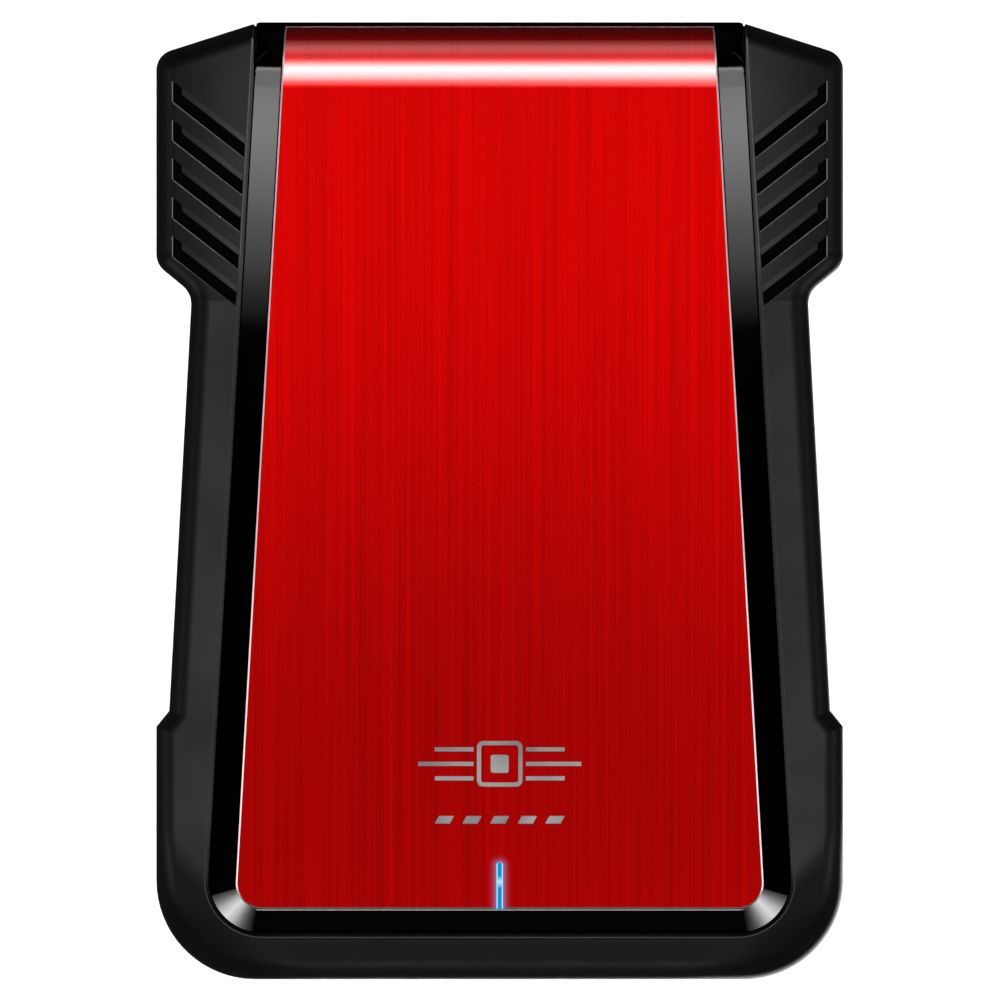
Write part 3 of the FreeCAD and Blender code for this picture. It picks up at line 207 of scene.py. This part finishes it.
def gloss_black():
    """Piano-black moulding with faint waviness, and a painted highlight as a fine pale line along the
    plate's foot and end.
    """
    shader = Shader("gloss_black", (0.0008, 0.0008, 0.001), 0.06)
    marks = shader.noise((60, 2500, 2500), 2.0)
    shader.drive("Roughness", shader.remap(marks, 0.4, 0.8, 0.05, 0.08))
    shader.bump(shader.noise((45, 45, 45), 1.0), 0.00002, 0.1)
    plate_low, plate_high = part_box("face_plate")
    x, y, z = shader.split(shader.place)
    # Painted highlight: a fine pale grey line (0.5) on the bezel top along the plate's foot, and on the lip
    # at the plate's rolled end.
    foot_highlight = both(shader, within(shader, z, 0.02383, 0.00016),
                     shader.math("LESS_THAN", y, plate_low.y - 0.0001))
    end_highlight = both(shader, within(shader, y, plate_high.y + 0.0001, 0.00012),
                    within(shader, x, 0.0, 0.0311))
    edge = shader.math("MAXIMUM", foot_highlight, end_highlight)
    shader.drive("Base Color", shader.mix(edge, (0.0008, 0.0008, 0.001), (0.5, 0.5, 0.5)))
    return shader


def red_anodised():
    """Brushed anodised sheet with a diamond-cut edge, a painted light falloff along its length, and the
    lamp's glow painted round its slot as emission.
    """
    red, bare = (0.36, 0.0, 0.0), (0.95, 0.82, 0.84)
    shader = Shader("red_anodised", red, 0.38, metallic=1.0, coat_weight=1.0, coat_roughness=0.08,
                    coat_ior=2.0)
    fine = shader.noise((6500, 14, 14), 3.0, 0.7)
    broad = shader.noise((1700, 8, 8), 2.0)
    streaks = both(shader, shader.remap(fine, 0.3, 0.75, 0.88, 1.08),
                   shader.remap(broad, 0.3, 0.7, 0.90, 1.06))
    x, y, _ = shader.split(shader.place)
    # Painted light: a cosine along the length (period 140 mm) brightens and darkens the red by up to 15
    # percent, standing in for the light's falloff over the plate.
    wave = shader.math("COSINE", both(shader, shader.math("SUBTRACT", y, 0.035), 2 * math.pi / 0.14))
    tone = shader.remap(wave, -1.0, 1.0, 0.85, 1.15)
    brushed_and_painted_light = shader.mix(both(shader, streaks, tone), (0.0, 0.0, 0.0), red)
    across, along, _ = shader.normal()
    cut = shader.math("MAXIMUM", shader.math("ABSOLUTE", across), shader.math("MULTIPLY", along, -1.0))
    shader.drive("Base Color", shader.mix(shader.math("GREATER_THAN", cut, 0.35), brushed_and_painted_light, bare))
    shader.drive("Roughness", shader.remap(fine, 0.3, 0.7, 0.35, 0.41))
    shader.bump(fine, 0.000004, 0.35)
    # Painted light: a blue emission on the red plate round the tip of the lamp's slot, standing in for the
    # lamp's light spilling onto the plate.
    _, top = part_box("light_pipe")
    past_tip = shader.math("MAXIMUM", shader.math("SUBTRACT", y, top.y - 0.0013), 0.0)
    away = shader.math("SQRT", shader.math("ADD", shader.math("MULTIPLY", x, x),
                                           shader.math("MULTIPLY", past_tip, past_tip)))
    glow = shader.math("POWER", shader.remap(away, 0.0004, 0.0022, 1.0, 0.0), 4.0)
    shader.drive("Emission Color", shader.mix(glow, (0.0, 0.0, 0.0), (0.0, 0.20, 0.40)))
    shader.set("Emission Strength", 1.0)
    return shader


def silver_mark():
    """Printed metal ink with a fine diagonal weave."""
    shader = Shader("silver_mark", (0.3, 0.29, 0.29), 0.35, metallic=0.8)
    wave = shader.node("ShaderNodeTexWave", Scale=1400.0, Distortion=0.0)
    wave.bands_direction = "DIAGONAL"
    shader.link(shader.place, wave.inputs["Vector"])
    sheen = shader.remap(shader.noise((160, 160, 160), 1.0), 0.35, 0.65, 0.35, 1.0)
    dull, bright = (0.10, 0.095, 0.095), (0.44, 0.43, 0.42)
    woven = shader.mix(wave.outputs["Fac"], dull, bright)
    shader.drive("Base Color", shader.mix(sheen, dull, woven))
    shader.bump(wave.outputs["Fac"], 0.00001, 0.5)
    return shader


def lamp_blue():
    """Lit clear blade: a pale cyan rim round a deeper blue middle, with one bright spot."""
    low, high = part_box("light_pipe")
    shader = Shader("lamp_blue", (0.02, 0.25, 0.45), 0.2)
    x, y, _ = shader.split(shader.place)
    blade_half = 0.48 * MM
    from_side = shader.math("SUBTRACT", blade_half, shader.math("ABSOLUTE", x))
    rim = shader.remap(from_side, 0.1 * MM, 0.26 * MM, 1.0, 0.0)
    cap = shader.remap(y, high.y - 0.9 * MM, high.y - 0.4 * MM, 0.0, 1.0)
    spot_y = low.y + 3.9 * MM
    spot = shader.remap(shader.math("ABSOLUTE", shader.math("SUBTRACT", y, spot_y)), 0.0, 0.9 * MM, 1.0, 0.0)
    glow = shader.math("MAXIMUM", shader.math("MAXIMUM", rim, cap), spot, clamp=True)
    shader.drive("Emission Color", shader.mix(glow, (0.0, 0.26, 0.60), (0.38, 0.82, 1.0)))
    shader.set("Emission Strength", 1.05)
    return shader


def plain(name, color, roughness, grain=900, depth=0.00002, spread=0.25, **sockets):
    """A moulded or machined finish with a colour that varies a little and a light grain."""
    shader = Shader(name, color, roughness, **sockets)
    spots = shader.noise((grain, grain, grain), 3.0)
    darker = tuple(part * (1 - spread) for part in color)
    lighter = tuple(min(1.0, part * (1 + spread)) for part in color)
    shader.drive("Base Color", shader.mix(spots, darker, lighter))
    shader.bump(spots, depth, 0.5)
    return shader


def solder_mask():
    """Green circuit board with traces under the mask."""
    shader = Shader("green_board", (0.010, 0.10, 0.045), 0.35)
    checks = shader.node("ShaderNodeTexBrick", Scale=260.0)
    shader.link(shader.place, checks.inputs["Vector"])
    shader.drive("Base Color", shader.mix(checks.outputs["Fac"], (0.010, 0.10, 0.045), (0.02, 0.16, 0.075)))
    return shader


def finish_nodes():
    paint(matte_frame(), "upper_frame")
    paint(matte_black(), "lower_shell")
    paint(gloss_black(), "cover_shell")
    paint(red_anodised(), "face_plate")
    paint(silver_mark(), "emblem")
    paint(lamp_blue(), "light_pipe", "activity_led")
    paint(plain("dark_screw", (0.05, 0.05, 0.055), 0.35, metallic=1.0), "shell_screws")
    paint(plain("black_rubber", (0.018, 0.018, 0.018), 0.75, 3000, 0.00004), "rubber_feet")
    paint(plain("label_sheet", (0.55, 0.55, 0.56), 0.45, 400, 0.00001, 0.06), "blank_label",
          "drive_label")
    paint(plain("grey_foam", (0.07, 0.07, 0.075), 0.9, 2500, 0.0002, 0.4), "drive_pads", "cover_foam")
    paint(solder_mask(), "bridge_board", "drive_board")
    paint(plain("steel", (0.62, 0.62, 0.63), 0.3, 1500, 0.00001, 0.1, metallic=1.0), "board_screws",
          "usb_shell", "clock_crystal", "lock_screw", "drive_case_screws")
    paint(plain("blue_plastic", (0.02, 0.08, 0.45), 0.35), "usb_tongue")
    paint(plain("gold_contact", (0.85, 0.60, 0.22), 0.25, metallic=1.0), "usb_contacts",
          "sata_socket_contacts", "drive_contacts")
    paint(plain("connector_black", (0.015, 0.015, 0.016), 0.5), "sata_socket", "drive_plug")
    paint(plain("chip_epoxy", (0.02, 0.02, 0.022), 0.55, 2500), "bridge_chip", "firmware_chip",
          "drive_controller", "drive_memory", "drive_flash")
    paint(plain("ferrite_grey", (0.14, 0.14, 0.15), 0.6), "power_inductor")
    paint(plain("capacitor_tan", (0.42, 0.28, 0.15), 0.5), "board_capacitors", "drive_capacitors")
    paint(plain("lock_grey", (0.10, 0.10, 0.105), 0.45, 3000), "lock_knob", "lock_latch")
    paint(plain("drive_metal", (0.28, 0.29, 0.31), 0.4, 3500, 0.00003, 0.12, metallic=0.9),
          "drive_case_top", "drive_case_bottom")
    paint(plain("thermal_blue", (0.22, 0.32, 0.60), 0.8), "drive_thermal_pad")


# ---------------------------------------------------------------- studio

def look_at(item, target):
    item.rotation_euler = (Vector(target) - item.location).to_track_quat("-Z", "Y").to_euler()


def light_only(light, names):
    """Lets a light reach only these objects."""
    receivers = bpy.data.collections.new(light.name + "_receivers")
    for name in names:
        receivers.objects.link(bpy.data.objects[name])
    light.light_linking.receiver_collection = receivers


def softbox(name, place, width, height, power, target=(0, 0, 0.02), names=None):
    data = bpy.data.lights.new(name, "AREA")
    data.shape = "RECTANGLE"
    data.size, data.size_y = width, height
    data.energy = power
    item = bpy.data.objects.new(name, data)
    bpy.context.scene.collection.objects.link(item)
    item.location = place
    look_at(item, target)
    if names:
        light_only(item, names)
    return item


def card(name, place, width, height, target, stops, names, along="Y"):
    """A glowing sheet whose brightness runs along its own X or Y through (metres, radiance) stops."""
    mesh = bpy.data.meshes.new(name)
    x, y = width / 2, height / 2
    mesh.from_pydata([(-x, -y, 0), (x, -y, 0), (x, y, 0), (-x, y, 0)], [], [(3, 2, 1, 0)])
    item = bpy.data.objects.new(name, mesh)
    bpy.context.scene.collection.objects.link(item)
    item.location = place
    look_at(item, target)
    shader = Shader(name, (0, 0, 0), 1.0)
    brightest = max(radiance for _, radiance in stops)
    half = (x, y)["XY".index(along)]
    ramp = shader.tree.nodes.new("ShaderNodeValToRGB")
    points = ramp.color_ramp.elements
    while len(points) < len(stops):
        points.new(0.5)
    for point, (distance, radiance) in zip(points, stops):
        point.position = (distance + half) / (2 * half)
        point.color = (*(radiance / brightest,) * 3, 1.0)
    line = shader.split(shader.place)["XY".index(along)]
    shader.link(shader.remap(line, -half, half, 0.0, 1.0), ramp.inputs["Fac"])
    glow = shader.node("ShaderNodeEmission", Strength=brightest)
    shader.link(ramp.outputs["Color"], glow.inputs["Color"])
    shader.link(glow.outputs["Emission"], shader.tree.nodes["Material Output"].inputs["Surface"])
    mesh.materials.append(shader.material)
    item.visible_camera = False
    light_only(item, names)
    return item


def make_floor():
    """Pale paper, open to a camera below it and to light, so that the underside can be seen."""
    mesh = bpy.data.meshes.new("floor")
    half = 4.0
    mesh.from_pydata([(-half, -half, 0), (half, -half, 0), (half, half, 0), (-half, half, 0)], [],
                     [(0, 1, 2, 3)])
    floor = bpy.data.objects.new("floor", mesh)
    bpy.context.scene.collection.objects.link(floor)
    shader = Shader("floor_paper", (0.86, 0.86, 0.86), 0.9)
    shader.drive("Base Color", shader.mix(shader.noise((4, 4, 4)), (0.85, 0.85, 0.85), (0.88, 0.88, 0.88)))
    clear = shader.node("ShaderNodeBsdfTransparent")
    sides = shader.tree.nodes.new("ShaderNodeMixShader")
    shader.link(shader.node("ShaderNodeNewGeometry").outputs["Backfacing"], sides.inputs["Fac"])
    shader.link(shader.surface.outputs["BSDF"], sides.inputs[1])
    shader.link(clear.outputs["BSDF"], sides.inputs[2])
    shader.link(sides.outputs["Shader"], shader.tree.nodes["Material Output"].inputs["Surface"])
    mesh.materials.append(shader.material)
    floor.visible_glossy = False
    floor.visible_shadow = False


def make_world():
    """A dim room that a camera sees as white paper."""
    world = bpy.data.worlds.new("studio")
    world.use_nodes = True
    tree = world.node_tree
    dim = tree.nodes["Background"]
    dim.inputs["Color"].default_value = (0.008, 0.008, 0.008, 1)
    paper = tree.nodes.new("ShaderNodeBackground")
    paper.inputs["Color"].default_value = (1, 1, 1, 1)
    choice = tree.nodes.new("ShaderNodeMixShader")
    tree.links.new(tree.nodes.new("ShaderNodeLightPath").outputs["Is Camera Ray"], choice.inputs["Fac"])
    tree.links.new(dim.outputs["Background"], choice.inputs[1])
    tree.links.new(paper.outputs["Background"], choice.inputs[2])
    tree.links.new(choice.outputs["Shader"], tree.nodes["World Output"].inputs["Surface"])
    bpy.context.scene.world = world


def make_studio():
    bpy.context.scene.view_settings.view_transform = "Standard"
    make_world()
    make_floor()
    plate, cover = ["face_plate"], ["cover_shell"]
    matte = [name for name in NODES if name not in plate + cover + ["light_pipe"]]
    shadowless = softbox("floor_wash", (0, 0, 2.2), 3.0, 3.0, 110.0, (0, 0, 0), ["floor"])
    blockers = bpy.data.collections.new("floor_only")
    blockers.objects.link(bpy.data.objects["floor"])
    shadowless.light_linking.blocker_collection = blockers
    softbox("floor_light", (0, 0, 2.2), 3.0, 3.0, 40.0, (0, 0, 0), ["floor"])
    softbox("overhead", (0, -0.12, 1.5), 0.3, 0.3, 2.8, names=matte)
    softbox("front", (0.12, -0.5, 0.75), 0.4, 0.4, 4.8, names=plate)
    dark_below = [name for name in NODES if name != "blank_label"]
    softbox("underlight", (0.3, -0.3, -1.0), 0.8, 0.8, 8.0, (0, 0, 0), dark_below)
    softbox("label_light", (0.3, -0.3, -1.0), 0.8, 0.8, 1.6, (0, 0, 0), ["blank_label"])
    softbox("front_low", (0, -0.9, 0.5), 0.5, 0.3, 0.6, names=["upper_frame", "lower_shell"])
    for side in (-1, 1):
        softbox(f"fill_{side + 2}", (side * 0.9, -0.35, 0.45), 0.5, 0.4, 1.2)
        softbox(f"plate_side_{side + 2}", (side * 0.24, 0.10, 0.30), 0.12, 0.12, 2.5, names=plate)
        softbox(f"roll_side_{side + 2}", (side * 0.15, 0.45, 0.15), 0.1, 0.1, 0.45, names=plate)
    reach, lean = 0.7, math.radians(36)
    roll = Vector((0.03, 0.063, 0.02))
    back = roll + Vector((0, math.sin(lean), math.cos(lean))) * reach
    card("back_card", back, 0.5, 0.72, roll,
         [(-0.30, 0.35), (-0.26, 0.5), (-0.22, 1.2), (-0.18, 2.2), (-0.11, 5.4), (-0.033, 8.8),
          (0.042, 9.0), (0.11, 7.0), (0.188, 5.2), (0.26, 3.0), (0.341, 0.7)], plate)
    card("horizon_card", (0, 0.75, 0.14), 0.9, 0.58, (0, 0.065, 0.14),
         [(-0.29, 0.0), (-0.25, 0.15), (-0.15, 0.36), (-0.055, 0.72), (0.034, 0.72), (0.127, 0.48),
          (0.22, 0.2), (0.288, 0.35)], plate)
    for side in (-1, 1):
        place = (side * 0.235, 0.080, 0.0)
        card(f"side_card_{side + 2}", place, 0.16, 0.12, (0, 0.080, 0.0),
             [(side * at, level) for at, level in
              ((-0.042, 0), (-0.036, 0.45), (-0.031, 1.1), (-0.026, 1.6), (-0.020, 2.6),
               (-0.0125, 3.8), (-0.008, 3.8), (0.0, 2.8), (0.055, 2.7), (0.068, 4.6),
               (0.074, 0.0))][::side],
             cover, "X")
        card(f"edge_card_{side + 2}", (side * 0.3, 0.0, 0.02), 0.5, 0.2, (0, 0.0, 0.02),
             [(-0.25, 1.1), (0.25, 1.1)], plate, "X")
        turn = math.radians(45)
        corner = Vector((side * math.sin(turn), -math.cos(turn), 0.0))
        start = Vector((side * 0.034, -0.056, 0.022))
        card(f"corner_card_{side + 2}", start + corner * 0.25, 0.35, 0.1, start,
             [(-0.174, 0.0), (-0.144, 0.4), (-0.117, 1.0), (-0.091, 2.4), (-0.067, 4.8), (-0.044, 8.3),
              (-0.022, 10.9), (0.0, 13.6), (0.022, 10.9), (0.044, 8.3), (0.067, 4.8), (0.091, 2.4),
              (0.117, 1.0), (0.144, 0.4), (0.174, 0.0)], cover, "X")


def make_camera():
    data = bpy.data.cameras.new("camera")
    distance = 3.0
    picture_height = 0.145
    data.sensor_width = 36.0
    data.lens = data.sensor_width * (distance - 0.02) / picture_height
    camera = bpy.data.objects.new("camera", data)
    bpy.context.scene.collection.objects.link(camera)
    camera.location = (0.00004, 0.0001, distance)
    bpy.context.scene.camera = camera


finish_nodes()
make_studio()
make_camera()
